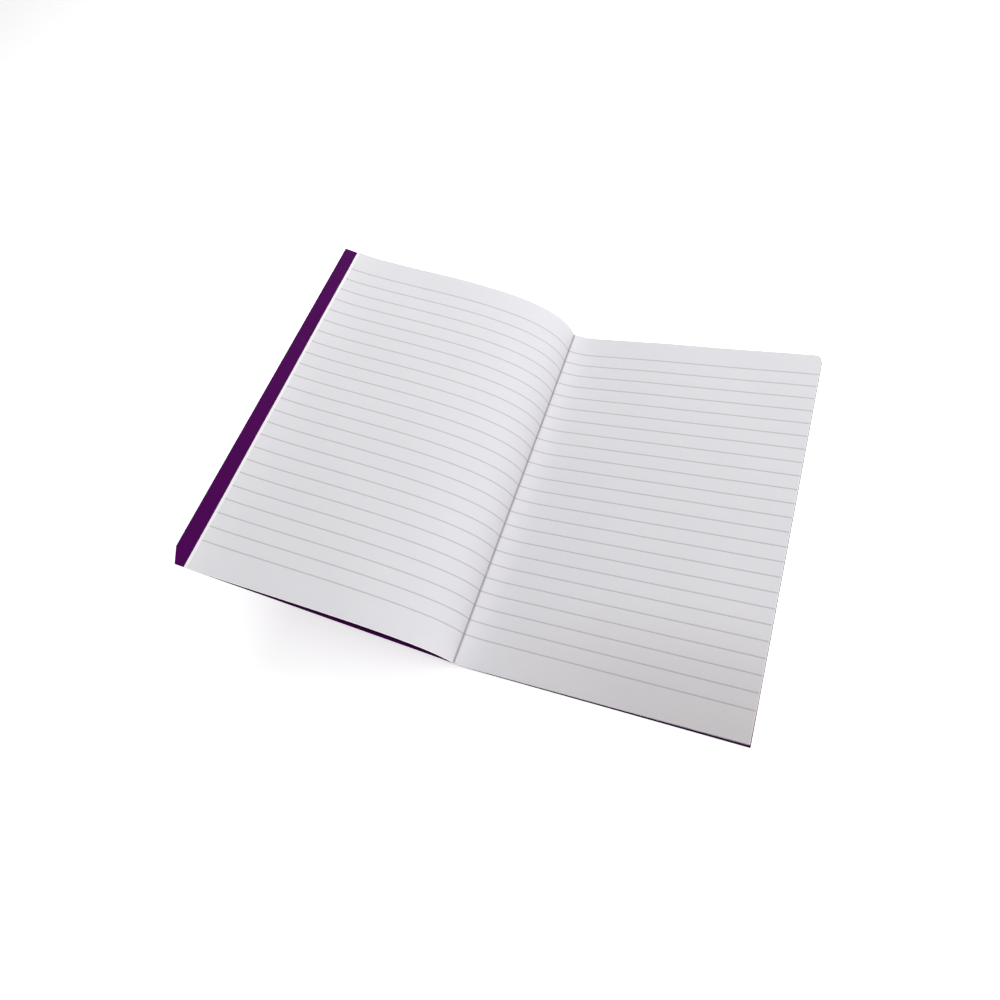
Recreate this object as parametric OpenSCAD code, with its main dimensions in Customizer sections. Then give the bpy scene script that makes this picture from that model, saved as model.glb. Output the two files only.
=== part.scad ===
// Softcover notebook lying open on its back cover.
// The spine runs along Y with the head at +Y, the right-hand page is at +X and +Z is up.
// The origin is the middle of the back cover's flat underside, where the book rests.

/* [Pages] */
// Width of one leaf, measured along the paper from the gutter to the fore edge
page_w = 148; // [120:1:200]
// Height of one leaf from tail to head
page_h = 210; // [150:1:300]
// Thickness of the leaves under the right-hand page
right_stack = 1.3; // [1:0.1:3]
// Thickness of the leaves under the left-hand page
left_stack = 0.8; // [0.6:0.1:2]
// Radius of the fore edge corner at the head of the right-hand leaves and the back cover
corner_r = 4; // [2:0.5:10]
// How far the lowest right-hand leaf stops short of the top one at the fore edge
right_step = 0.6; // [0.2:0.1:2]
// How far the lowest left-hand leaf stands out past the top one at the fore edge
left_step = 1.5; // [0.2:0.1:2]

/* [Bow of the left-hand leaves] */
// Angle above the table at which the left-hand leaves leave the gutter
bow_start_angle = 89; // [70:1:90]
// Reach of the curve's pull at the gutter
bow_start_pull = 42; // [20:1:50]
// Extra angle, past the cover's own, at which the leaves meet the fore edge
bow_end_tilt = 2; // [0:0.5:4]
// Reach of the curve's pull at the fore edge
bow_end_pull = 33; // [15:1:45]

/* [Gutter] */
// Height that the gutter stands above the flat of the right-hand page
gutter_rise = 3.2; // [1:0.1:6]
// Width of the slope between the gutter and the flat of the right-hand page
gutter_slope = 14; // [8:1:25]

/* [Cover] */
// Thickness of the cover card
cover_t = 0.3; // [0.2:0.05:0.5]
// Width of the front cover, measured along the card from the spine fold to the fore edge
cover_w = 149.6; // [120:0.1:201]
// How far the back cover stands out past the top right-hand leaf at the fore edge
back_past = 0.1; // [0:0.1:1.5]
// Angle that the raised front cover makes with the table
cover_lift = 27.4; // [15:0.1:40]
// Angle above the table at which the front cover leaves the spine fold
fold_angle = 50; // [40:1:60]
// Reach of the bend next to the spine fold
fold_pull = 4; // [2:0.5:6]
// Reach of the bend next to the flat of the front cover
crease_pull = 8; // [4:0.5:12]
// Length of the clipped tail corner along the fore edge of the front cover
clip_fore = 8.7; // [2:0.1:15]
// Length of the clipped tail corner along the tail of the front cover
clip_tail = 3.9; // [2:0.1:15]

/* [Staples] */
// Diameter of the staple wire
wire_d = 0.5; // [0.4:0.05:0.6]
// Length of a staple's crown, between the centres of its legs
crown_w = 12; // [8:1:16]
// Length of each leg's clinched end
clinch_w = 5; // [3:0.5:5]
// Distance between the middles of the two staples
staple_pitch = 105; // [60:1:120]

/* [Clearances] */
// Gap between the left-hand leaves and the front cover where they rest on it
rest_gap = 0.25; // [0.15:0.05:0.5]
// Gap between the leaves and the front cover at the spine fold
fold_gap = 0.3; // [0.25:0.05:0.5]
// Clearance around the staple wire
wire_gap = 0.03; // [0.02:0.01:0.05]

/* [Hidden] */

$fn = 32;
bow_steps = 40;
slope_steps = 10;
fold_steps = 6;
bend_steps = 8;
solve_steps = 30;
past = 1;

flat_top = cover_t + right_stack;
gutter = [0, flat_top + gutter_rise];
start_slope = atan(2 * gutter_rise / gutter_slope);

// Directions from the gutter to the outer face of the fold, on its left-hand and right-hand sides
fold_left = 270 - bow_start_angle;
fold_right = 270 - start_slope;
// The back cover ends a little way round the fold, where the front cover starts
fold_end = 215;
hinge_dir = 200;

// Point at a distance from another in a direction
function towards(from, dist, dir) = from + dist * [cos(dir), sin(dir)];

// Unit tangent and normal of a path at point i; the normal is on the left of the path
function tangent(path, i) =
    let (a = path[max(i - 1, 0)], b = path[min(i + 1, len(path) - 1)])
    (b - a) / norm(b - a);
function normal(path, i) = let (t = tangent(path, i)) [-t.y, t.x];
function beside(path, dist) = [for (i = [0:len(path) - 1]) path[i] + dist * normal(path, i)];
function reversed(path) = [for (i = [len(path) - 1:-1:0]) path[i]];
function after_first(path) = [for (i = [1:len(path) - 1]) path[i]];
function path_len(path, i = 1) = i >= len(path) ? 0 : norm(path[i] - path[i - 1]) + path_len(path, i + 1);

// Curves between two ends that are pulled towards one or two inner points
function curve3(a, b, c, t) = (1 - t) ^ 2 * a + 2 * (1 - t) * t * b + t ^ 2 * c;
function curve4(a, b, c, d, t) =
    (1 - t) ^ 3 * a + 3 * (1 - t) ^ 2 * t * b + 3 * (1 - t) * t ^ 2 * c + t ^ 3 * d;

// Front cover: from the hinge it bends through the fold, then runs straight to its fore edge
hinge = towards(gutter, left_stack + fold_gap + cover_t, hinge_dir);
fold_knee = towards(hinge, fold_pull, 180 - fold_angle);
crease = towards(fold_knee, crease_pull, 180 - cover_lift);
fold_bend = [for (i = [0:bend_steps]) curve3(hinge, fold_knee, crease, i / bend_steps)];
fore_edge = towards(crease, cover_w - path_len(fold_bend), 180 - cover_lift);
front_mid = concat(fold_bend, [fore_edge]);

// Left-hand page: a curve from the gutter that lands beside the cover, at a distance from its crease
land_off = cover_t / 2 + rest_gap + left_stack;
function landing(dist) = towards(towards(crease, dist, 180 - cover_lift), land_off, 90 - cover_lift);
function bow(dist) =
    let (
        b = towards(gutter, bow_start_pull, 180 - bow_start_angle),
        d = landing(dist),
        c = towards(d, bow_end_pull, -cover_lift - bow_end_tilt)
    )
    [for (i = [0:bow_steps]) curve4(gutter, b, c, d, i / bow_steps)];
// The distance at which the curve is as long as the leaf is wide
function land_dist(low, high, steps) =
    let (mid = (low + high) / 2)
    steps == 0 ? mid
        : path_len(bow(mid)) > page_w ? land_dist(low, mid, steps - 1)
        : land_dist(mid, high, steps - 1);
left_top = bow(land_dist(0, page_w, solve_steps));
left_under = beside(left_top, left_stack);
left_edge = left_under[bow_steps] + left_step * tangent(left_top, bow_steps);

// Right-hand page: a slope down from the gutter, then flat to the fore edge
slope_top = [for (i = [0:slope_steps])
    let (t = i / slope_steps) [gutter_slope * t, flat_top + gutter_rise * (1 - t) ^ 2]];
right_x = gutter_slope + page_w - path_len(slope_top);
function under_slope(depth) = [for (i = [0:slope_steps])
    let (dir = atan(2 * gutter_rise / gutter_slope * (1 - i / slope_steps)))
    towards(slope_top[i], depth, 270 - dir)];

// Outer face of the fold, round the gutter from the right-hand side to a direction on the left
function round_fold(extra, dir_end) = [for (i = [1:fold_steps])
    let (dir = fold_right + (dir_end - fold_right) * i / fold_steps,
         share = (fold_right - dir) / (fold_right - fold_left))
    towards(gutter, right_stack + (left_stack - right_stack) * share + extra, dir)];

block_under = concat(reversed(under_slope(right_stack)), round_fold(0, fold_left));
block_outline = concat(
    [[right_x, flat_top]],
    reversed(slope_top),
    after_first(left_top),
    [left_edge],
    reversed(after_first(left_under)),
    reversed(block_under),
    [[right_x - right_step, cover_t]]
);

// Back cover: under the right-hand leaves and round the fold
back_x = right_x + back_past;
back_inner = concat(reversed(under_slope(right_stack)), round_fold(0, fold_end));
back_outer = concat(reversed(under_slope(right_stack + cover_t)), round_fold(cover_t, fold_end));
back_outline = concat([[back_x, cover_t]], back_inner, reversed(back_outer), [[back_x, 0]]);

front_outline = concat(beside(front_mid, cover_t / 2), reversed(beside(front_mid, -cover_t / 2)));

// The book's resting place: the middle of the back cover's flat underside
rest_x = (gutter_slope + back_x) / 2;

// A sheet with this outline in X and Z, as long as the page is high
module sheet(outline) {
    translate([-rest_x, page_h / 2, 0])
        rotate([90, 0, 0])
            linear_extrude(page_h)
                polygon(outline);
}

// What is cut off to round a fore edge corner at the head, with the corner at this x
module corner_waste(x) {
    translate([x - rest_x - corner_r, page_h / 2 - corner_r, -past])
        difference() {
            cube([corner_r + past, corner_r + past, flat_top + 2 * past]);
            translate([0, 0, -past])
                cylinder(r = corner_r, h = flat_top + 4 * past);
        }
}

// The staple's legs lie in this direction, seen along the spine
staple_out = right_stack + cover_t + wire_d / 2;
staple_in = wire_d;

// A round wire between two distances from the gutter, at a place along the spine
module staple_leg(y, d) {
    p = towards(gutter, staple_in, fold_right);
    translate([p.x - rest_x, y, p.y])
        rotate([0, 90 - fold_right, 0])
            cylinder(d = d, h = staple_out - staple_in);
}

// A round wire along the spine, at a distance from the gutter
module staple_run(y, length, depth, d) {
    p = towards(gutter, depth, fold_right);
    translate([p.x - rest_x, y + length / 2, p.y])
        rotate([90, 0, 0])
            cylinder(d = d, h = length);
}

// One staple: crown outside the spine, two legs and their clinched ends
module staple(y, grow) {
    d = wire_d + 2 * grow;
    staple_run(y, crown_w + d, staple_out, d);
    for (side = [-1, 1]) {
        staple_leg(y + side * crown_w / 2, d);
        staple_run(y + side * (crown_w - clinch_w) / 2, clinch_w + d, staple_in, d);
    }
}

module both_staples(grow) {
    for (side = [-1, 1])
        staple(side * staple_pitch / 2, grow);
}

// All the leaves, bowed on the left and flat on the right
module page_block() {
    color([0.86, 0.86, 0.88])
        difference() {
            sheet(block_outline);
            corner_waste(right_x);
            both_staples(wire_gap);
        }
}

// Half of the cover card, with the spine fold
module back_cover() {
    color([0.29, 0.04, 0.32])
        difference() {
            sheet(back_outline);
            corner_waste(back_x);
            both_staples(wire_gap);
        }
}

// The raised half of the cover card, with its clipped corner
module front_cover() {
    color([0.29, 0.04, 0.32])
        difference() {
            sheet(front_outline);
            translate([fore_edge.x - rest_x, -page_h / 2, 0])
                linear_extrude(fore_edge.y + past)
                    polygon([[-past, -past], [clip_tail * cos(cover_lift), 0], [0, clip_fore]]);
        }
}

// The two wire staples
module staples() {
    color([0.72, 0.72, 0.74])
        both_staples(0);
}

page_block();
back_cover();
front_cover();
staples();
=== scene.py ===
"""Softcover notebook lying open: folded leaves, a purple card cover and two wire staples.

Every shape is worked out from the outlines of the CAD nodes, in metres, in the CAD frame.
The spine runs along Y with the head at +Y, and the right-hand page is at +X.
"""

import math

import bpy
import numpy as np
from mathutils import Matrix, Vector


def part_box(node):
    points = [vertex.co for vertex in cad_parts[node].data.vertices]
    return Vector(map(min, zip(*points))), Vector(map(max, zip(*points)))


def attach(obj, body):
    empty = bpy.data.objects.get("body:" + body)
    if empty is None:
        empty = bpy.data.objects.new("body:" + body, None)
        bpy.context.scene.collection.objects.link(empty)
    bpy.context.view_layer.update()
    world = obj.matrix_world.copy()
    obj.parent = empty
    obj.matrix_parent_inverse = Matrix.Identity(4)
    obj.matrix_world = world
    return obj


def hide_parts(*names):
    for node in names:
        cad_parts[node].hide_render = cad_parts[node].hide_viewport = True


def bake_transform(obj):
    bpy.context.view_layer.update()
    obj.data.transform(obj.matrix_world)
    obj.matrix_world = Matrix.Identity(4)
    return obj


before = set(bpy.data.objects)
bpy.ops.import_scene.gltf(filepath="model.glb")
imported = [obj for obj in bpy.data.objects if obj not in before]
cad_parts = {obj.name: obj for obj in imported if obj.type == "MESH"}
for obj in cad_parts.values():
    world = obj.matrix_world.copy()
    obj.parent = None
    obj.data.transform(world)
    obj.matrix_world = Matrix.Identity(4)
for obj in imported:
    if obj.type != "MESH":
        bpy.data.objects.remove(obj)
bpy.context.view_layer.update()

MM = 0.001
TINY = 1e-6
NEAREST_MARKS = 10 * TINY
WHITE = (1, 1, 1, 1)

# Leaves: a folded sheet makes two. Through sheets have one on each side, inner sheets both on the right
THROUGH_SHEETS = 9
INNER_SHEETS = 3
LEAF_T = 0.056 * MM
LEAF_WANDER = 0.06 * MM
LEAF_SEED = 7
GROOVE = 0.75 * MM
FOLD_COLUMNS = 9
LONGEST_QUAD = 4.2 * MM
PAGE_ROWS = 40
CORNER_COLUMNS = 6
CRISP_ANGLE = 45

# Waves of the leaves: one at the right-hand head, a curl at the tail corner that parts them, a ripple
HEAD_WAVE = 0.55 * MM
HEAD_WAVE_AT = 58 * MM
HEAD_WAVE_WIDTH = 20 * MM
HEAD_WAVE_REACH = 60 * MM
CORNER_CURL = 1.5 * MM
CURL_ACROSS = 75 * MM
CURL_ALONG = 25 * MM
RIPPLE = 0.05 * MM
RIPPLE_LENGTH = 47 * MM
RIPPLE_SLANT = 0.6
FLAT_NEAR_GUTTER = 12 * MM

# The leaves sit a little askew in the cover, so more of the card shows towards the tail
SKEW = 0.0048
TAIL_MARGIN = 0.12 * MM
TAIL_MARGIN_AT = 20 * MM

# Ruling
RULE_LINES = 24
RULE_TOP = 13.0 * MM
RULE_PITCH = 7.9 * MM
RULE_W = 0.62 * MM
RULE_CORE = 0.35
RULE_FADE = 0.65

# Painted light on the paper: shade along the fold, a highlight along the trimmed edges, shade at the
# right-hand tail corner and on the cut edges, darkest at that corner; and specks
FOLD_SHADE_WIDTH = 0.9 * MM
FOLD_SHADE_CORE = 0.35
FOLD_SHADE_STRENGTH = 0.7
TRIM_HIGHLIGHT_WIDTH = 0.3 * MM
TRIM_HIGHLIGHT_CORE = 0.5
CORNER_SHADE_ACROSS = 165 * MM
CORNER_SHADE_ALONG = 70 * MM
EDGE_SHADE_FULL = 0.5
EDGE_SHADE_STRENGTH = 0.92
SPECK_SIZE = 0.012
SPECK_STRENGTH = 0.35

# Colours, as linear red, green, blue and alpha
PAPER = (0.745, 0.735, 0.765, 1)
INK = (0.50, 0.47, 0.49, 1)
# Painted shade along the fold
PAINTED_FOLD_SHADE = (0.36, 0.33, 0.40, 1)
# Painted highlight along the trimmed edges
PAINTED_TRIM_HIGHLIGHT = (0.95, 0.94, 0.95, 1)
# Painted shade at the right-hand tail corner
PAINTED_CORNER_SHADE = (0.80, 0.78, 0.77, 1)
# Painted shade on the cut edges: the first away from the tail corner, the second, much darker, at it
SHADED_EDGE = (0.34, 0.31, 0.30, 1)
DEEP_SHADED_EDGE = (0.085, 0.07, 0.065, 1)
SPECK = (0.3, 0.27, 0.27, 1)
PURPLE = (0.069, 0.0016, 0.084, 1)
RUBBED_PURPLE = (0.2, 0.1, 0.22, 1)

# Noise scales, in features a metre
PAPER_CLOUDS = 160.0
PAPER_BLOTCHES = 22.0
PAPER_SPECKS = 45.0
PAPER_TOOTH = 420.0
PAPER_FIBRES = 2600.0
INK_GAPS = 900.0
CARD_TONE = 60.0
CARD_RUBBING = 300.0
CARD_SHEEN = 240.0
CARD_TOOTH = 350.0
CARD_GRAIN = 1500.0
WIRE_LINES = 5200.0
WIRE_DULLING = 700.0
FLOOR_MOTTLE = 3.0
NOISE_LOW = 0.3
NOISE_HIGH = 0.7

# Depths of the surface relief
PAPER_RELIEF = 0.012 * MM
CARD_RELIEF = 0.014 * MM
WIRE_RELIEF = 0.004 * MM

# Cover card
CARD_ROWS = 48

# Staple wire
STAPLES = 2
CLINCH = 5 * MM
WIRE_SIDES = 12
WIRE_BEND = 0.45 * MM
WIRE_BEND_STEPS = 5

# Camera: the picture, the lens and its centre in pixels, and where it looks and from where
PICTURE = 1000
FOCAL = 733.5
CENTRE_X = 560
CENTRE_Y = 453
LOOK_AT = Vector((-65.375 * MM, 23.584 * MM, 0))
AZIMUTH = 42.787
ELEVATION = 55.105
ROLL = 29.176
DISTANCE = 421.39 * MM
SENSOR = 36
CLIP_START = 0.01

# Two soft lights, one past the right-hand fore edge and one past the head
LIGHT_AIM = (-0.05, 0.0, 0.02)
LIGHT_SIZE = 0.8
SIDE_LIGHT_AT = (0.59, 0.0, 0.79)
SIDE_LIGHT_WATTS = 4.4
HEAD_LIGHT_AT = (-0.05, 0.64, 0.79)
HEAD_LIGHT_WATTS = 6.3

# The floor, and the room: pale walls all round and a dim ceiling, by the sine of the height in view
FLOOR_SIZE = 40.0
FLOOR_GLOW = 0.57
WALL_GLOW = 0.82
CEILING_GLOW = 0.12
WALL_TOP = 0.25
CEILING_EDGE = 0.62


class Graph:
    """Short calls for building a node tree."""

    def __init__(self, tree):
        self.tree = tree

    def node(self, kind, **settings):
        made = self.tree.nodes.new(kind)
        for name, value in settings.items():
            setattr(made, name, value)
        return made

    def put(self, socket, value):
        """Links a socket into another, or sets its value."""
        if isinstance(value, bpy.types.NodeSocket):
            self.tree.links.new(value, socket)
        else:
            socket.default_value = value

    def use(self, kind, values, **settings):
        """A node with some inputs filled, by name or number."""
        made = self.node(kind, **settings)
        for name, value in values.items():
            self.put(made.inputs[name], value)
        return made

    def math(self, operation, *values):
        numbered = dict(enumerate(values))
        return self.use("ShaderNodeMath", numbered, operation=operation).outputs[0]

    def scaled(self, vector, factor):
        values = {0: vector, "Scale": factor}
        return self.use("ShaderNodeVectorMath", values, operation="SCALE").outputs[0]

    def plus(self, a, b):
        return self.use("ShaderNodeVectorMath", {0: a, 1: b}, operation="ADD").outputs[0]


# Outlines and paths, as rows of (x, z)


def end_outline(node, y):
    """The corners round a node's flat end at this y, anticlockwise seen from the tail."""
    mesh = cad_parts[node].data
    mesh.calc_loop_triangles()
    edges = {}
    for triangle in mesh.loop_triangles:
        corners = [tuple(mesh.vertices[i].co) for i in triangle.vertices]
        if all(abs(corner[1] - y) < TINY for corner in corners):
            for a, b in zip(corners, corners[1:] + corners[:1]):
                edges.setdefault(frozenset((a, b)), []).append((a, b))
    follow = dict(found[0] for found in edges.values() if len(found) == 1)
    start = max(follow)
    loop = [start]
    while follow[loop[-1]] != start:
        loop.append(follow[loop[-1]])
    outline = np.array([(x, z) for x, _, z in loop])
    return outline if enclosed(outline) > 0 else outline[::-1]


def enclosed(outline):
    """The area inside an outline, above zero if it runs anticlockwise."""
    x, z = outline.T
    return 0.5 * float(np.sum(x * np.roll(z, -1) - np.roll(x, -1) * z))


def stretch(outline, first, last):
    """The part of a closed outline from one of its corners to another, in its own order."""
    turned = np.roll(outline, -first, axis=0)
    return turned[: (last - first) % len(outline) + 1]


def sharpest(path):
    """The number of the point where a path turns most."""
    steps = np.diff(path, axis=0)
    angles = np.arctan2(steps[:, 1], steps[:, 0])
    turns = np.abs((np.diff(angles) + math.pi) % (2 * math.pi) - math.pi)
    return int(np.argmax(turns)) + 1


def along(path):
    """The distance from a path's start to each of its points."""
    steps = np.hypot(*np.diff(path, axis=0).T)
    return np.concatenate([[0.0], np.cumsum(steps)])


def divided(path, start=0.0, extra=()):
    """A path from a distance on, with its long edges divided and with points at some other distances."""
    reach = along(path)
    marks = [start, *extra]
    for a, b in zip(reach, reach[1:]):
        marks.extend(np.linspace(a, b, math.ceil((b - a) / LONGEST_QUAD) + 1))
    marks = np.array(sorted(mark for mark in marks if start <= mark <= reach[-1] + TINY))
    marks = marks[np.concatenate([[True], np.diff(marks) > NEAREST_MARKS])]
    return np.column_stack([np.interp(marks, reach, path[:, 0]), np.interp(marks, reach, path[:, 1])])


def directions(path):
    """The unit tangent at each point of a path."""
    steps = np.diff(path, axis=0)
    steps = steps / np.hypot(*steps.T)[:, None]
    both = np.vstack([steps[:1], steps[:-1] + steps[1:], steps[-1:]])
    return both / np.hypot(*both.T)[:, None]


def turned_left(vectors):
    """Vectors turned a quarter anticlockwise, seen from the tail."""
    return np.column_stack([-vectors[:, 1], vectors[:, 0]])


def arc_directions(start, end, turns, count):
    """Unit vectors that turn from one to another the given way, without the two ends."""
    first = math.atan2(start[1], start[0])
    last = math.atan2(end[1], end[0])
    sweep = (last - first) % (2 * math.pi) if turns > 0 else -((first - last) % (2 * math.pi))
    angles = first + sweep * np.arange(1, count + 1) / (count + 1)
    return np.column_stack([np.cos(angles), np.sin(angles)])


def smooth_step(value):
    """0 below 0, 1 above 1 and a smooth rise between."""
    value = np.clip(value, 0, 1)
    return value * value * (3 - 2 * value)


# The open page surface, measured on the outline of the leaves

page_low, page_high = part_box("page_block")
TAIL, HEAD = page_low.y, page_high.y


class Spread:
    """The two pages that show: their paths from the gutter, and how the leaves lie under them."""

    def __init__(self):
        outline = end_outline("page_block", TAIL)
        right_corner = int(np.argmax(outline[:, 0]))
        left_corner = int(np.argmax(outline[:, 1]))
        top = stretch(outline, right_corner, left_corner)
        gutter_number = sharpest(top)
        self.gutter = top[gutter_number]
        self.radius = corner_radius("page_block")
        self.left = top[gutter_number:]
        self.right = top[: gutter_number + 1][::-1]
        left_way = directions(self.left)
        right_way = directions(self.right)
        left_end = outline[(left_corner + 1) % len(outline)] - self.left[-1]
        right_end = outline[right_corner - 1] - self.right[-1]
        left_stack = float(left_end @ turned_left(left_way)[-1])
        self.right_stack = float(-right_end @ turned_left(right_way)[-1])
        right_leaves = THROUGH_SHEETS + 2 * INNER_SHEETS
        self.left_pitch = left_stack / THROUGH_SHEETS
        self.right_pitch = self.right_stack / right_leaves
        self.left_step = float(left_end @ left_way[-1]) / (THROUGH_SHEETS - 1)
        self.right_step = float(right_end @ right_way[-1]) / (right_leaves - 1)


def corner_radius(node):
    """The radius of a node's round corner, at the head of its right-hand fore edge."""
    points = np.array([v.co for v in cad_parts[node].data.vertices])
    edge = points[points[:, 0] > points[:, 0].max() - TINY]
    return HEAD - float(edge[:, 1].max())


def round_corner_marks(length, radius):
    """Distances along a page at which a round corner needs its columns."""
    turns = np.linspace(0, math.pi / 2, CORNER_COLUMNS + 1)
    return [length - radius * (1 - math.sin(turn)) for turn in turns]


def round_corner_cut(path, radius):
    """How far the head draws back at each point of a path that ends at a round corner."""
    from_edge = along(path)[-1] - along(path)
    inside = np.clip(radius - from_edge, 0, radius)
    return radius - np.sqrt(radius**2 - inside**2)


def leaf_lift(spread, x, y):
    """How far the top leaf stands up from where it would lie if flat, and how far the stack parts."""
    from_gutter = np.abs(x - spread.gutter[0])
    from_edge = spread.right[-1][0] - x
    bump = np.exp(-(((x - spread.gutter[0] - HEAD_WAVE_AT) / HEAD_WAVE_WIDTH) ** 2))
    head_wave = HEAD_WAVE * bump * smooth_step(1 - (HEAD - y) / HEAD_WAVE_REACH)
    curl = CORNER_CURL * smooth_step(1 - np.hypot(from_edge / CURL_ACROSS, (y - TAIL) / CURL_ALONG))
    ripple = RIPPLE * (1 + np.sin(2 * math.pi * (x + RIPPLE_SLANT * y) / RIPPLE_LENGTH))
    lift = (head_wave + ripple) * smooth_step(from_gutter / FLAT_NEAR_GUTTER) + curl
    return lift, 1 + curl / spread.right_stack


# Sheet grids: the columns run from left to right, and each has its own rule for stacking


class Columns:
    """The columns of a sheet's grid, with the number of the column at its fold."""

    def __init__(self, fold, from_gutter=0.0):
        self.parts = []
        self.fold = fold
        self.from_gutter = from_gutter

    def add(self, place, into, first, pitch, step, head_cut=0.0, tail_cut=0.0, askew=0.0):
        """Columns at these places. A sheet lies first + number * pitch along into, each a step aside."""
        ones = np.ones(len(place))
        cuts = [head_cut * ones, tail_cut * ones]
        self.parts.append([place, into, first * ones, pitch * ones, step, *cuts, askew + 0 * place])

    def joined(self):
        return [np.concatenate(columns) for columns in zip(*self.parts)]


def sheet_grid(name, columns, rows, lie=None):
    """A grid mesh with the attributes that the stacking tree and the materials read."""
    place, into, first, pitch, step, head_cut, tail_cut, askew = columns.joined()
    count = len(place)
    start, end = TAIL + tail_cut, HEAD - head_cut
    x, z = np.repeat(place, rows + 1, axis=0).T
    y = (start[:, None] + (end - start)[:, None] * np.linspace(0, 1, rows + 1)).ravel()
    drawn = np.repeat(askew, rows + 1, axis=0) * (HEAD - y)[:, None]
    x = x + drawn[:, 0]
    z = z + drawn[:, 1]
    parted = np.ones(len(y))
    if lie is not None:
        lift, parted = lie(x, y)
        z = z + lift
    corners = np.arange(count * (rows + 1)).reshape(count, rows + 1)
    quads = np.stack([corners[:-1, :-1], corners[1:, :-1], corners[1:, 1:], corners[:-1, 1:]], axis=-1)
    mesh = bpy.data.meshes.new(name)
    mesh.from_pydata(np.column_stack([x, y, z]).tolist(), [], quads.reshape(-1, 4).tolist())
    from_fold = np.repeat(along(place) - along(place)[columns.fold], rows + 1)
    from_gutter = from_fold + np.copysign(columns.from_gutter, from_fold)
    keep_vectors(mesh, "flat", np.column_stack([from_gutter, y, np.zeros(len(y))]))
    keep_vectors(mesh, "into", np.repeat(in_space(into), rows + 1, axis=0))
    keep_vectors(mesh, "step", np.repeat(in_space(step), rows + 1, axis=0))
    keep_values(mesh, "first", parted * np.repeat(first, rows + 1))
    keep_values(mesh, "pitch", parted * np.repeat(pitch, rows + 1))
    return mesh


def in_space(vectors):
    """Vectors of (x, z) as (x, 0, z)."""
    return np.column_stack([vectors[:, 0], np.zeros(len(vectors)), vectors[:, 1]])


def keep_vectors(mesh, name, values):
    attribute = mesh.attributes.new(name, "FLOAT_VECTOR", "POINT")
    attribute.data.foreach_set("vector", values.astype(np.float32).ravel())


def keep_values(mesh, name, values):
    attribute = mesh.attributes.new(name, "FLOAT", "POINT")
    attribute.data.foreach_set("value", values.astype(np.float32))


def through_columns(spread):
    """Sheets with a leaf on each side: down the left-hand bow, round the gutter and out to the right."""
    left = divided(spread.left)
    columns = Columns(fold=len(left))
    left_way = directions(left)
    left_first = 0.5 * (spread.left_pitch + LEAF_T)
    left_share = (along(left) / along(left)[-1])[:, None]
    left_step = left_way * spread.left_step * left_share
    left_askew = -SKEW * left_way * left_share
    columns.add(
        left[::-1],
        turned_left(left_way)[::-1],
        left_first,
        spread.left_pitch,
        left_step[::-1],
        askew=left_askew[::-1],
    )

    over = 2 * INNER_SHEETS
    right_first = (over + 0.5) * spread.right_pitch + 0.5 * LEAF_T
    left_into = turned_left(directions(spread.left))[0]
    right_into = -turned_left(directions(spread.right))[0]
    turns = arc_directions(left_into, right_into, 1, FOLD_COLUMNS)
    share = np.arange(1, FOLD_COLUMNS + 1) / (FOLD_COLUMNS + 1)
    first = left_first + (right_first - left_first) * share
    pitch = spread.left_pitch + (spread.right_pitch - spread.left_pitch) * share
    columns.add(np.tile(spread.gutter, (FOLD_COLUMNS, 1)), turns, first, pitch, 0 * turns)

    marks = round_corner_marks(along(spread.right)[-1], spread.radius)
    right = divided(spread.right, extra=marks)
    way = directions(right)
    step = way * spread.right_step * (along(right) / along(right)[-1])[:, None]
    cuts = {"head_cut": round_corner_cut(right, spread.radius), "tail_cut": tail_margin(along(right))}
    columns.add(right + over * step, -turned_left(way), right_first, spread.right_pitch, step, **cuts)
    return columns


def inner_columns(spread):
    """Sheets folded wholly on the right: in along the lower leaf, round the fold and out along the upper."""
    pitch = spread.right_pitch
    middle = INNER_SHEETS * pitch
    marks = round_corner_marks(along(spread.right)[-1], spread.radius)
    path = divided(spread.right, start=GROOVE + middle, extra=marks)
    columns = Columns(fold=len(path), from_gutter=GROOVE + middle)
    way = directions(path)
    down = -turned_left(way)
    centre = path + middle * down
    step = way * spread.right_step * (along(path) / along(path)[-1])[:, None]
    head_cut = round_corner_cut(path, spread.radius)
    tail_cut = tail_margin(GROOVE + middle + along(path))
    first = (INNER_SHEETS - 0.5) * pitch - 0.5 * LEAF_T
    lowest = 2 * INNER_SHEETS - 1
    lower_cuts = {"head_cut": head_cut[::-1], "tail_cut": tail_cut[::-1]}
    columns.add((centre + lowest * step)[::-1], down[::-1], first, -pitch, -step[::-1], **lower_cuts)
    turns = arc_directions(down[0], -down[0], -1, FOLD_COLUMNS)
    fold = np.tile(centre[0], (FOLD_COLUMNS, 1))
    columns.add(fold, turns, first, -pitch, 0 * turns, tail_cut=tail_cut[0])
    columns.add(centre, -down, first, -pitch, step, head_cut=head_cut, tail_cut=tail_cut)
    return columns


def tail_margin(from_gutter):
    """How far the right-hand leaves stop short of the cover's tail."""
    return SKEW * from_gutter + TAIL_MARGIN * smooth_step(from_gutter / TAIL_MARGIN_AT)


def card_middle(node, y, end_corner):
    """The middle of a card's thickness, from its fore edge to the fold, and the thickness."""
    outline = end_outline(node, y)
    count = len(outline)
    half = count // 2
    corner = end_corner(outline)
    one_side = stretch(outline, corner, (corner + half - 1) % count)
    other_side = stretch(outline, (corner + half) % count, corner - 1)[::-1]
    thickness = float(np.hypot(*(one_side[0] - other_side[0])))
    return 0.5 * (one_side + other_side), thickness


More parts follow.
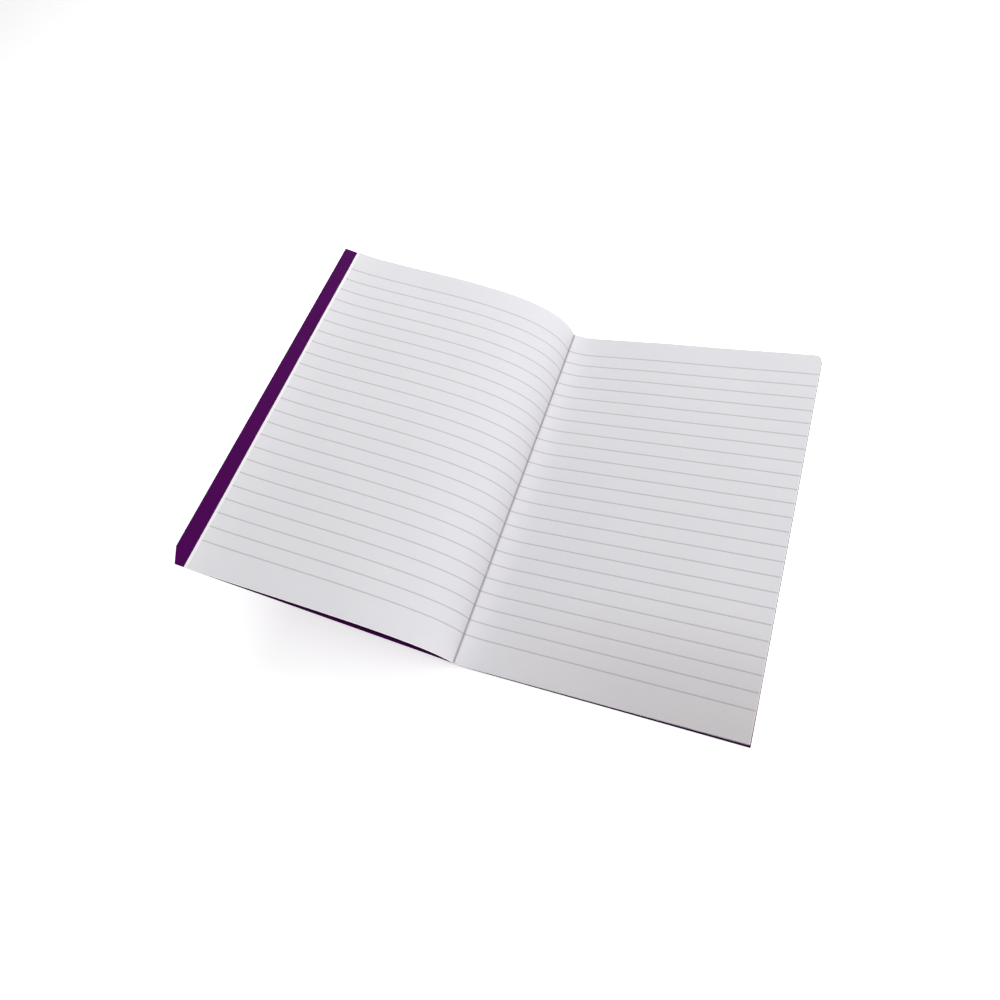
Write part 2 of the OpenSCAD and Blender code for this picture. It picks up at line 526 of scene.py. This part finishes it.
def front_clip():
    """How far the front cover's tail corner is clipped, along the card and along the fore edge."""
    points = np.array([v.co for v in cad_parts["front_cover"].data.vertices])
    fore = points[points[:, 2] > points[:, 2].max() - TINY]
    tail = points[points[:, 1] < TAIL + TINY]
    tip = tail[int(np.argmax(tail[:, 2]))]
    nearest = fore[int(np.argmin(np.hypot(fore[:, 0] - tip[0], fore[:, 2] - tip[2])))]
    along_card = float(np.hypot(nearest[0] - tip[0], nearest[2] - tip[2]))
    return along_card, float(fore[:, 1].min()) - TAIL


def cover_columns():
    """The whole cover card: the front, the spine fold and the back."""
    front, thickness = card_middle("front_cover", HEAD, topmost_corner)
    back, _ = card_middle("back_cover", TAIL, rightmost_corner)
    back_radius = corner_radius("back_cover")
    clip_card, clip_fore = front_clip()
    front = divided(front[::-1], extra=[along(front)[-1] - clip_card])[::-1]
    back = divided(back[::-1], extra=round_corner_marks(along(back)[-1], back_radius))
    path = np.vstack([front, back])
    from_fore = along(path)
    clipped = clip_fore * np.clip(1 - from_fore / clip_card, 0, 1)
    rounded = np.concatenate([np.zeros(len(front)), round_corner_cut(back, back_radius)])
    down = -turned_left(directions(path))
    columns = Columns(fold=len(front))
    columns.add(path, down, 0.5 * thickness, 0.0, 0 * down, head_cut=rounded, tail_cut=clipped)
    return columns, thickness, front[-1], back[0]


def rightmost_corner(outline):
    """The upper of the two corners furthest to the right, where an outline starts its run to the left."""
    furthest = np.flatnonzero(outline[:, 0] > outline[:, 0].max() - TINY)
    return int(max(furthest, key=lambda i: outline[i, 1]))


def topmost_corner(outline):
    """The second of the two corners at a raised card's fore edge, in the outline's order."""
    return (int(np.argmax(outline[:, 1])) + 1) % len(outline)


# Geometry Nodes trees


def new_tree(name, sizes):
    """An empty tree with a geometry in and out, and named inputs."""
    tree = bpy.data.node_groups.new(name, "GeometryNodeTree")
    tree.interface.new_socket("Geometry", in_out="INPUT", socket_type="NodeSocketGeometry")
    for label, kind in sizes.items():
        tree.interface.new_socket(label, in_out="INPUT", socket_type=kind)
    tree.interface.new_socket("Geometry", in_out="OUTPUT", socket_type="NodeSocketGeometry")
    return tree, Graph(tree)


def named(g, label, kind):
    return g.use("GeometryNodeInputNamedAttribute", {"Name": label}, data_type=kind).outputs[0]


def stack_tree():
    """Repeats a sheet's grid once per sheet along its own directions, and gives each its thickness."""
    tree, g = new_tree(
        "sheet_stack",
        {
            "Sheets": "NodeSocketInt",
            "Thickness": "NodeSocketFloat",
            "Wander": "NodeSocketFloat",
            "Seed": "NodeSocketInt",
            "Material": "NodeSocketMaterial",
        },
    )
    given = g.node("NodeGroupInput").outputs
    points = g.use("GeometryNodePoints", {"Count": given["Sheets"]}).outputs[0]
    copies = g.use("GeometryNodeInstanceOnPoints", {"Points": points, "Instance": given["Geometry"]})
    number = g.node("GeometryNodeInputIndex").outputs[0]
    numbered = g.use(
        "GeometryNodeStoreNamedAttribute",
        {"Geometry": copies.outputs[0], "Name": "sheet_number", "Value": number},
        data_type="FLOAT",
        domain="INSTANCE",
    )
    loose = g.use("GeometryNodeRealizeInstances", {0: numbered.outputs[0]}).outputs[0]
    sheet = named(g, "sheet_number", "FLOAT")
    depth = g.math("MULTIPLY_ADD", sheet, named(g, "pitch", "FLOAT"), named(g, "first", "FLOAT"))
    stacked = g.scaled(named(g, "into", "FLOAT_VECTOR"), depth)
    stepped = g.scaled(named(g, "step", "FLOAT_VECTOR"), sheet)
    wander = g.use(
        "FunctionNodeRandomValue",
        {0: (0, -1, 0), 1: (0, 1, 0), "ID": g.math("ROUND", sheet), "Seed": given["Seed"]},
        data_type="FLOAT_VECTOR",
    )
    shifted = g.scaled(wander.outputs[0], given["Wander"])
    offset = g.plus(g.plus(stacked, stepped), shifted)
    placed = g.use("GeometryNodeSetPosition", {"Geometry": loose, "Offset": offset}).outputs[0]
    top = g.use(
        "GeometryNodeExtrudeMesh",
        {"Mesh": placed, "Offset Scale": given["Thickness"], "Individual": False},
        mode="FACES",
    )
    rim = g.use(
        "GeometryNodeStoreNamedAttribute",
        {"Geometry": top.outputs["Mesh"], "Name": "cut_edge", "Value": top.outputs["Side"]},
        data_type="FLOAT",
        domain="FACE",
    )
    under = g.use("GeometryNodeFlipFaces", {0: placed}).outputs[0]
    joined = g.node("GeometryNodeJoinGeometry")
    tree.links.new(rim.outputs[0], joined.inputs[0])
    tree.links.new(under, joined.inputs[0])
    closed = g.use("GeometryNodeMergeByDistance", {"Geometry": joined.outputs[0], "Distance": TINY})
    finish_tree(tree, g, closed.outputs[0], given["Material"])
    return tree


def staple_tree():
    """Bends a wire along a path, and repeats it at each place along the spine."""
    tree, g = new_tree(
        "staple_row",
        {
            "Wire": "NodeSocketFloat",
            "Bend": "NodeSocketFloat",
            "Apart": "NodeSocketFloat",
            "Staples": "NodeSocketInt",
            "Material": "NodeSocketMaterial",
        },
    )
    given = g.node("NodeGroupInput").outputs
    path = g.use("GeometryNodeMeshToCurve", {0: given["Geometry"]}).outputs[0]
    bent = g.use(
        "GeometryNodeFilletCurve",
        {"Curve": path, "Radius": given["Bend"], "Count": WIRE_BEND_STEPS},
        mode="POLY",
    )
    radius = g.math("MULTIPLY", given["Wire"], 0.5)
    section = g.use("GeometryNodeCurvePrimitiveCircle", {"Resolution": WIRE_SIDES, "Radius": radius})
    wire = g.use(
        "GeometryNodeCurveToMesh",
        {"Curve": bent.outputs[0], "Profile Curve": section.outputs[0], "Fill Caps": True},
    )
    along_spine = g.use("ShaderNodeCombineXYZ", {"Y": given["Apart"]}).outputs[0]
    half_back = g.scaled(along_spine, -0.5)
    places = g.use(
        "GeometryNodeMeshLine",
        {"Count": given["Staples"], "Start Location": half_back, "Offset": along_spine},
    )
    pair = {"Points": places.outputs[0], "Instance": wire.outputs[0]}
    copies = g.use("GeometryNodeInstanceOnPoints", pair)
    finish_tree(tree, g, copies.outputs[0], given["Material"])
    return tree


def finish_tree(tree, g, geometry, material):
    """Realizes the copies, smooths the faces but not the cut edges, and sets the material."""
    real = g.use("GeometryNodeRealizeInstances", {0: geometry})
    angle = g.node("GeometryNodeInputMeshEdgeAngle").outputs[0]
    crisp = g.math("GREATER_THAN", angle, math.radians(CRISP_ANGLE))
    smooth = g.use("GeometryNodeSetShadeSmooth", {0: real.outputs[0], "Shade Smooth": True}, domain="FACE")
    edged = g.use(
        "GeometryNodeSetShadeSmooth",
        {0: smooth.outputs[0], "Selection": crisp, "Shade Smooth": False},
        domain="EDGE",
    )
    dressed = g.use("GeometryNodeSetMaterial", {0: edged.outputs[0], "Material": material})
    tree.links.new(dressed.outputs[0], g.node("NodeGroupOutput").inputs[0])


def grown(name, mesh, tree, values):
    """Runs a tree on a mesh, and returns the result as a plain mesh object."""
    seed = bpy.data.objects.new(name + "_seed", mesh)
    bpy.context.scene.collection.objects.link(seed)
    modifier = seed.modifiers.new("grow", "NODES")
    modifier.node_group = tree
    for item in tree.interface.items_tree:
        if item.in_out == "INPUT" and item.name in values:
            modifier[item.identifier] = values[item.name]
    bpy.context.view_layer.update()
    evaluated = seed.evaluated_get(bpy.context.evaluated_depsgraph_get())
    made = bpy.data.meshes.new_from_object(evaluated)
    bpy.data.objects.remove(seed)
    made.name = name
    piece = bpy.data.objects.new(name, made)
    bpy.context.scene.collection.objects.link(piece)
    return piece


# Materials


def new_material(name):
    material = bpy.data.materials.new(name)
    material.use_nodes = True
    return material, Graph(material.node_tree), material.node_tree.nodes["Principled BSDF"]


def flat_place(g):
    """A sheet's own flat coordinates: the distance across it, and the distance along the spine."""
    return g.use("ShaderNodeAttribute", {}, attribute_name="flat").outputs["Vector"]


def cut_edge(g):
    """1 on the cut edges of a sheet and 0 on its faces."""
    return g.use("ShaderNodeAttribute", {}, attribute_name="cut_edge").outputs["Fac"]


def noise(g, place, scale, detail=3.0, rough=0.55):
    values = {"Vector": place, "Scale": scale, "Detail": detail, "Roughness": rough}
    return g.use("ShaderNodeTexNoise", values).outputs["Fac"]


def ranged(g, value, low, high, low_in=NOISE_LOW, high_in=NOISE_HIGH):
    """Turns a value's place between low_in and high_in into the same place between low and high."""
    return g.use("ShaderNodeMapRange", {0: value, 1: low_in, 2: high_in, 3: low, 4: high}).outputs[0]


def blended(g, share, a, b, kind="MIX"):
    mixer = g.node("ShaderNodeMix", data_type="RGBA", blend_type=kind)
    g.put(mixer.inputs[0], share)
    g.put(mixer.inputs[6], a)
    g.put(mixer.inputs[7], b)
    return mixer.outputs[2]


def grey(g, value):
    return g.use("ShaderNodeCombineColor", {0: value, 1: value, 2: value}).outputs[0]


def bumped(g, shader, height, depth):
    values = {"Height": height, "Distance": depth, "Strength": 1.0}
    g.put(shader.inputs["Normal"], g.use("ShaderNodeBump", values).outputs[0])


def rule_mask(g, place):
    """1 on the printed lines, which cross the page at a steady pitch from the head."""
    y = g.use("ShaderNodeSeparateXYZ", {0: place}).outputs["Y"]
    lines = g.math("DIVIDE", g.math("SUBTRACT", HEAD - RULE_TOP, y), RULE_PITCH)
    nearest = g.math("ROUND", lines)
    off = g.math("MULTIPLY", g.math("ABSOLUTE", g.math("SUBTRACT", lines, nearest)), RULE_PITCH)
    line = ranged(g, off, 1.0, 0.0, RULE_CORE * RULE_W, RULE_FADE * RULE_W)
    started = g.math("GREATER_THAN", nearest, -0.5)
    ended = g.math("LESS_THAN", nearest, RULE_LINES - 0.5)
    return g.math("MULTIPLY", line, g.math("MULTIPLY", started, ended))


def trim_highlight_mask(g, place, width):
    """1 on a thin line along a leaf's trimmed edges, where a highlight is painted."""
    split = g.use("ShaderNodeSeparateXYZ", {0: place})
    across = g.math("SUBTRACT", width, g.math("ABSOLUTE", split.outputs["X"]))
    down = g.math("SUBTRACT", HEAD, g.math("ABSOLUTE", split.outputs["Y"]))
    return ranged(g, g.math("MINIMUM", across, down), 1.0, 0.0, TRIM_HIGHLIGHT_CORE * TRIM_HIGHLIGHT_WIDTH, TRIM_HIGHLIGHT_WIDTH)


def corner_shade_mask(g, place, width):
    """1 at the tail corner of the right-hand leaves, where shade is painted, falling away smoothly."""
    split = g.use("ShaderNodeSeparateXYZ", {0: place})
    across = g.math("DIVIDE", g.math("SUBTRACT", width, split.outputs["X"]), CORNER_SHADE_ACROSS)
    down = g.math("DIVIDE", g.math("SUBTRACT", split.outputs["Y"], TAIL), CORNER_SHADE_ALONG)
    away = g.math("SQRT", g.math("ADD", g.math("POWER", across, 2.0), g.math("POWER", down, 2.0)))
    reach = {0: away, 1: 1.0, 2: 0.0, 3: 0.0, 4: 1.0}
    return g.use("ShaderNodeMapRange", reach, interpolation_type="SMOOTHSTEP").outputs[0]


def fold_shade_mask(g, place):
    """1 along the fold, where shade is painted, falling away over a short distance on both sides."""
    x = g.use("ShaderNodeSeparateXYZ", {0: place}).outputs["X"]
    return ranged(g, g.math("ABSOLUTE", x), 1.0, 0.0, FOLD_SHADE_CORE * FOLD_SHADE_WIDTH, FOLD_SHADE_WIDTH)


def ruled_paper(width):
    """Smooth uncoated writing paper: cloudy formation, fine fibres, faint ruling, specks, and painted light:
    shade along the fold, on the cut edges and at the tail corner, and a highlight along the trimmed edges.
    """
    material, g, shader = new_material("ruled_paper")
    place = flat_place(g)
    cut = cut_edge(g)
    clouds = ranged(g, noise(g, place, PAPER_CLOUDS, 4.0), 0.985, 1.0)
    blotches = ranged(g, noise(g, place, PAPER_BLOTCHES, 2.0), 0.988, 1.0)
    shade = grey(g, g.math("MULTIPLY", clouds, blotches))
    plain = blended(g, 1.0, PAPER, shade, "MULTIPLY")
    printed = g.math("MULTIPLY", rule_mask(g, place), ranged(g, noise(g, place, INK_GAPS, 2.0), 0.75, 1.0))
    lined = blended(g, g.math("MULTIPLY", printed, g.math("SUBTRACT", 1.0, cut)), plain, INK)
    # Painted shade along the fold, darkest at the crease
    folded = blended(g, g.math("MULTIPLY", fold_shade_mask(g, place), FOLD_SHADE_STRENGTH), lined, PAINTED_FOLD_SHADE)
    # Painted highlight along the trimmed edges of each leaf
    trimmed = blended(g, trim_highlight_mask(g, place, width), folded, PAINTED_TRIM_HIGHLIGHT)
    # Painted shade that darkens the right-hand leaves towards their tail corner
    corner_shade = corner_shade_mask(g, place, width)
    corner_shaded = blended(g, corner_shade, trimmed, PAINTED_CORNER_SHADE, "MULTIPLY")
    # Painted shade on the cut edges, much darker towards the tail corner
    edge = blended(g, ranged(g, corner_shade, 0.0, 1.0, 0.0, EDGE_SHADE_FULL), SHADED_EDGE, DEEP_SHADED_EDGE)
    edge_shaded = blended(g, g.math("MULTIPLY", cut, EDGE_SHADE_STRENGTH), corner_shaded, edge)
    cells = g.use("ShaderNodeTexVoronoi", {"Vector": place, "Scale": PAPER_SPECKS}).outputs[0]
    speck = g.math("MULTIPLY", g.math("LESS_THAN", cells, SPECK_SIZE), SPECK_STRENGTH)
    g.put(shader.inputs["Base Color"], blended(g, speck, edge_shaded, SPECK))
    fibres = noise(g, place, PAPER_FIBRES, 3.0, 0.6)
    g.put(shader.inputs["Roughness"], ranged(g, fibres, 0.78, 0.92))
    shader.inputs["Specular IOR Level"].default_value = 0.2
    relief = g.math("MULTIPLY_ADD", noise(g, place, PAPER_TOOTH, 3.0), 1.6, fibres)
    bumped(g, shader, relief, PAPER_RELIEF)
    return material


def purple_card():
    """Deep purple cover card: a close grain, a faint sheen and paler cut edges."""
    material, g, shader = new_material("purple_card")
    place = flat_place(g)
    grain = noise(g, place, CARD_GRAIN, 3.0, 0.6)
    tone = ranged(g, noise(g, place, CARD_TONE), 0.92, 1.06)
    shade = g.math("MULTIPLY", tone, ranged(g, grain, 0.94, 1.05))
    dyed = blended(g, 1.0, PURPLE, grey(g, shade), "MULTIPLY")
    rubbed = g.math("MULTIPLY", cut_edge(g), ranged(g, noise(g, place, CARD_RUBBING), 0.05, 0.4))
    g.put(shader.inputs["Base Color"], blended(g, rubbed, dyed, RUBBED_PURPLE))
    g.put(shader.inputs["Roughness"], ranged(g, noise(g, place, CARD_SHEEN, 4.0), 0.48, 0.62))
    shader.inputs["Specular IOR Level"].default_value = 0.03
    relief = g.math("MULTIPLY_ADD", noise(g, place, CARD_TOOTH), 1.5, grain)
    bumped(g, shader, relief, CARD_RELIEF)
    return material


def staple_steel():
    """Drawn wire: bright steel with fine lines along it and a little dulling."""
    material, g, shader = new_material("staple_steel")
    place = g.node("ShaderNodeTexCoord").outputs["Object"]
    drawn = g.use("ShaderNodeMapping", {"Vector": place, "Scale": (1.0, 0.06, 1.0)}).outputs[0]
    lines = noise(g, drawn, WIRE_LINES, 2.0)
    g.put(shader.inputs["Base Color"], grey(g, ranged(g, noise(g, place, WIRE_DULLING), 0.46, 0.62)))
    g.put(shader.inputs["Roughness"], ranged(g, lines, 0.26, 0.42))
    shader.inputs["Metallic"].default_value = 1.0
    bumped(g, shader, lines, WIRE_RELIEF)
    return material


def studio_white():
    """The floor: pale, matt and faintly mottled, with a glow that keeps shadows soft."""
    material, g, shader = new_material("studio_white")
    place = g.node("ShaderNodeTexCoord").outputs["Object"]
    g.put(shader.inputs["Base Color"], grey(g, ranged(g, noise(g, place, FLOOR_MOTTLE, 2.0), 0.93, 0.95)))
    shader.inputs["Roughness"].default_value = 0.9
    shader.inputs["Specular IOR Level"].default_value = 0.1
    shader.inputs["Emission Color"].default_value = WHITE
    shader.inputs["Emission Strength"].default_value = FLOOR_GLOW
    return material


# Pieces


def make_leaves(spread, tree, paper):
    """The folded sheets that run through to both sides, and those that lie inside them on the right."""

    def lie_through(x, y):
        return leaf_lift(spread, x, y)

    def lie_inner(x, y):
        lift, parted = leaf_lift(spread, x, y)
        return lift - (parted - 1) * INNER_SHEETS * spread.right_pitch, parted

    values = {"Thickness": LEAF_T, "Wander": LEAF_WANDER, "Seed": LEAF_SEED, "Material": paper}
    through = sheet_grid("through_sheets", through_columns(spread), PAGE_ROWS, lie_through)
    inner = sheet_grid("inner_sheets", inner_columns(spread), PAGE_ROWS, lie_inner)
    return [
        grown("through_sheets", through, tree, {"Sheets": THROUGH_SHEETS, **values}),
        grown("inner_sheets", inner, tree, {"Sheets": INNER_SHEETS, **values}),
    ]


def make_cover(tree, card):
    """The cover as one folded card, and the two ends of its spine fold."""
    columns, thickness, hinge, back_end = cover_columns()
    mesh = sheet_grid("cover_card", columns, CARD_ROWS)
    values = {"Sheets": 1, "Thickness": thickness, "Wander": 0.0, "Seed": 0, "Material": card}
    cover = grown("cover_card", mesh, tree, values)
    return cover, hinge, back_end


def make_staples(spread, steel):
    """Two staples whose crowns lie outside the spine and whose ends are clinched inside."""
    points = np.array([v.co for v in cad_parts["staples"].data.vertices])
    into = -turned_left(directions(spread.right))[0]
    depth = (points[:, [0, 2]] - spread.gutter) @ into
    head_side = points[points[:, 1] > 0][:, 1]
    across = (points[:, [0, 2]] - spread.gutter) @ np.array([-into[1], into[0]])
    wire = float(np.ptp(across))
    half_crown = 0.5 * (float(np.ptp(head_side)) - wire)
    inside = depth.min() + 0.5 * wire
    outside = depth.max() - 0.5 * wire
    turns = [(half_crown - CLINCH, inside), (half_crown, inside), (half_crown, outside)]
    route = [(-y, d) for y, d in turns] + [(y, d) for y, d in reversed(turns)]
    places = [spread.gutter + d * into for _, d in route]
    corners = [(p[0], y, p[1]) for (y, _), p in zip(route, places)]
    mesh = bpy.data.meshes.new("staple_path")
    mesh.from_pydata(corners, [(i, i + 1) for i in range(len(corners) - 1)], [])
    apart = float(head_side.max() + head_side.min())
    values = {"Wire": wire, "Bend": WIRE_BEND, "Apart": apart, "Staples": STAPLES, "Material": steel}
    return grown("staple_wires", mesh, staple_tree(), values)


# Stage, lights and camera


def make_floor(material):
    """A wide flat square under the notebook, which isn't a part of it."""
    half = FLOOR_SIZE / 2
    mesh = bpy.data.meshes.new("studio_floor")
    corners = [(-half, -half, 0), (half, -half, 0), (half, half, 0), (-half, half, 0)]
    mesh.from_pydata(corners, [], [(0, 1, 2, 3)])
    mesh.materials.append(material)
    floor = bpy.data.objects.new("studio_floor", mesh)
    bpy.context.scene.collection.objects.link(floor)


def soft_light(name, place, watts):
    """A square area light that faces the notebook."""
    light = bpy.data.lights.new(name, "AREA")
    light.shape = "SQUARE"
    light.size = LIGHT_SIZE
    light.energy = watts
    lamp = bpy.data.objects.new(name, light)
    lamp.location = place
    lamp.rotation_euler = (Vector(LIGHT_AIM) - Vector(place)).to_track_quat("-Z", "Y").to_euler()
    bpy.context.scene.collection.objects.link(lamp)


def make_lights():
    soft_light("side_light", SIDE_LIGHT_AT, SIDE_LIGHT_WATTS)
    soft_light("head_light", HEAD_LIGHT_AT, HEAD_LIGHT_WATTS)


def make_room():
    """The world: as bright as the far floor at the horizon, so that no line shows, and dim overhead."""
    world = bpy.data.worlds.new("studio")
    world.use_nodes = True
    g = Graph(world.node_tree)
    way = g.node("ShaderNodeTexCoord").outputs["Generated"]
    height = g.use("ShaderNodeSeparateXYZ", {0: way}).outputs["Z"]
    glow = ranged(g, height, WALL_GLOW, CEILING_GLOW, WALL_TOP, CEILING_EDGE)
    background = world.node_tree.nodes["Background"]
    background.inputs["Color"].default_value = WHITE
    g.put(background.inputs["Strength"], glow)
    bpy.context.scene.world = world


def make_camera():
    """The photograph's view: turned about its own axis, with the lens centre a little off the picture's."""
    azimuth, elevation, roll = map(math.radians, (AZIMUTH, ELEVATION, ROLL))
    flat = math.cos(elevation)
    back = Vector((math.sin(azimuth) * flat, -math.cos(azimuth) * flat, math.sin(elevation)))
    right = (-back).cross(Vector((0, 0, 1))).normalized()
    down = (-back).cross(right)
    turned_right = math.cos(roll) * right + math.sin(roll) * down
    turned_down = -math.sin(roll) * right + math.cos(roll) * down
    lens = bpy.data.cameras.new("photo_camera")
    lens.sensor_width = SENSOR
    lens.lens = SENSOR * FOCAL / PICTURE
    lens.shift_x = (PICTURE / 2 - CENTRE_X) / PICTURE
    lens.shift_y = (CENTRE_Y - PICTURE / 2) / PICTURE
    lens.clip_start = CLIP_START
    camera = bpy.data.objects.new("photo_camera", lens)
    axes = Matrix((turned_right, -turned_down, back)).transposed()
    camera.matrix_world = Matrix.LocRotScale(LOOK_AT + DISTANCE * back, axes.to_quaternion(), None)
    bpy.context.scene.collection.objects.link(camera)
    bpy.context.scene.camera = camera


def make_notebook():
    """Makes the pieces, hides the nodes that each replaces, and hangs the leaves and the staples on the
    notebook's body.
    """
    spread = Spread()
    tree = stack_tree()
    for leaves in make_leaves(spread, tree, ruled_paper(along(spread.right)[-1])):
        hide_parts("page_block")
        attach(leaves, "notebook")
    cover, hinge, back_end = make_cover(tree, purple_card())
    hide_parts("front_cover", "back_cover")
    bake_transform(cover)
    staples = make_staples(spread, staple_steel())
    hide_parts("staples")
    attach(staples, "notebook")


bpy.context.scene.view_settings.view_transform = "Standard"
make_camera()
make_lights()
make_room()
make_floor(studio_white())
make_notebook()
